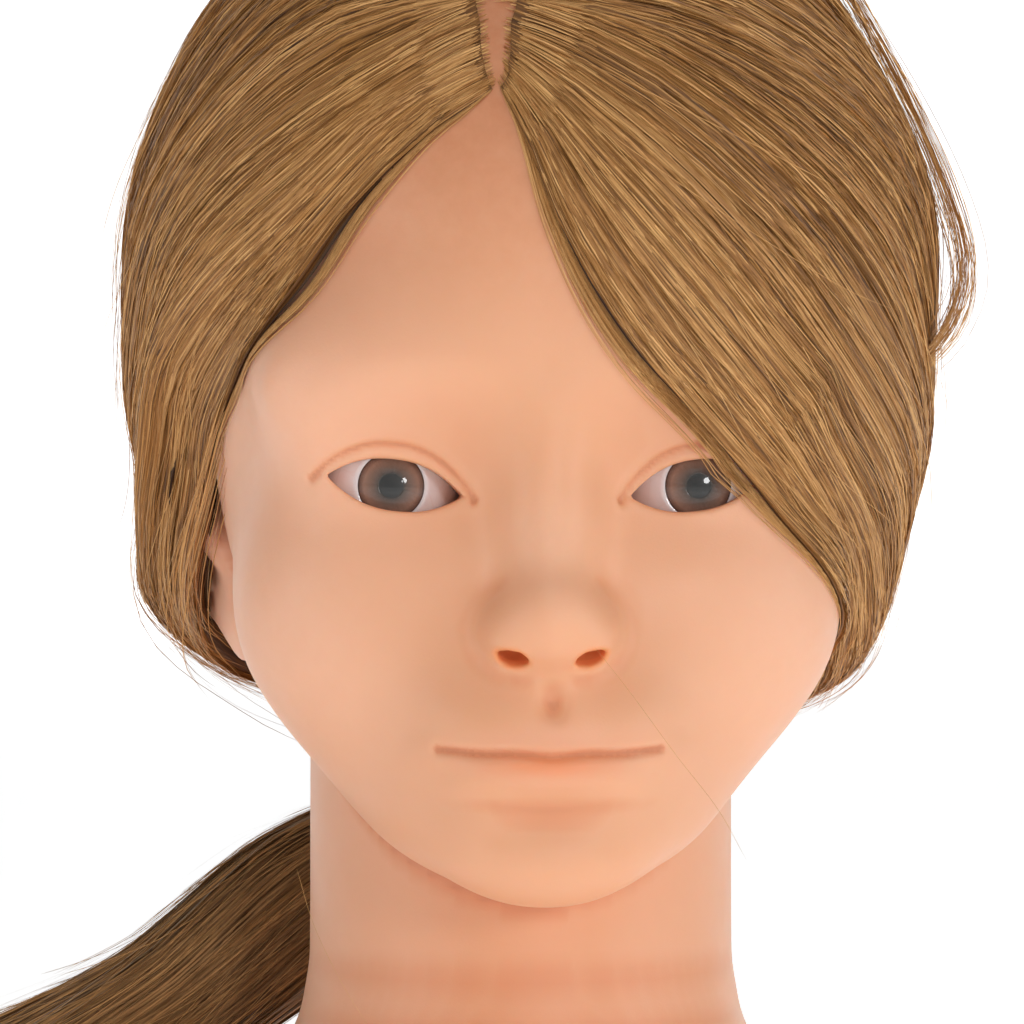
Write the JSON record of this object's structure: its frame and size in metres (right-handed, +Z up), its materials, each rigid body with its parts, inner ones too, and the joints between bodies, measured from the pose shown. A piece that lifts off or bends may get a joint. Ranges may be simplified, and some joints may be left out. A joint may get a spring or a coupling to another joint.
{
  "type": "mannequin training head",
  "caption": "Hairdressing training head: soft vinyl face and flared neck, long golden-brown rooted hair parted off-centre and tied in a low ponytail.",
  "frame": {"origin": "middle of the clamp socket's mouth, on the flat base of the neck", "axes": "+Z up the neck, the face looks along -Y, the head's right side is at -X"},
  "size_m": [0.2618, 0.229, 0.3157],
  "materials": {
    "skin": "soft satin vinyl",
    "hair": "combed fibre, soft shine",
    "eye_white": "polished",
    "iris": "printed, under a clear dome",
    "pupil": "polished",
    "clear": "clear acrylic",
    "base": "fine moulded grain",
    "socket": "moulded",
    "steel": "zinc plated",
    "foam": "rigid foam",
    "latex": "cured latex",
    "band": "fibre-covered elastic"
  },
  "bodies": {
    "head": {"base_plate": "base", "clamp_socket": "socket", "neck_hoop": "base", "hoop_screws": "steel", "socket_screws": "steel", "head_skin": "skin", "root_layer": "latex", "foam_core": "foam", "eye_cup_right": "base", "eye_white_right": "eye_white", "iris_right": "iris", "pupil_right": "pupil", "cornea_right": "clear", "eye_cup_left": "base", "eye_white_left": "eye_white", "iris_left": "iris", "pupil_left": "pupil", "cornea_left": "clear", "hair_front_right": "hair", "hair_front_left": "hair", "hair_back": "hair", "hair_nape": "hair", "hair_band": "band"},
    "tail": {"ponytail": "hair"}
  },
  "joints": [
    {"name": "ponytail_swing", "type": "hinge", "parent": "head", "child": "tail", "pos_m": [0, 0.07, 0.105], "axis": [0, 0, 1], "range_deg": [-180, 0]}
  ]
}
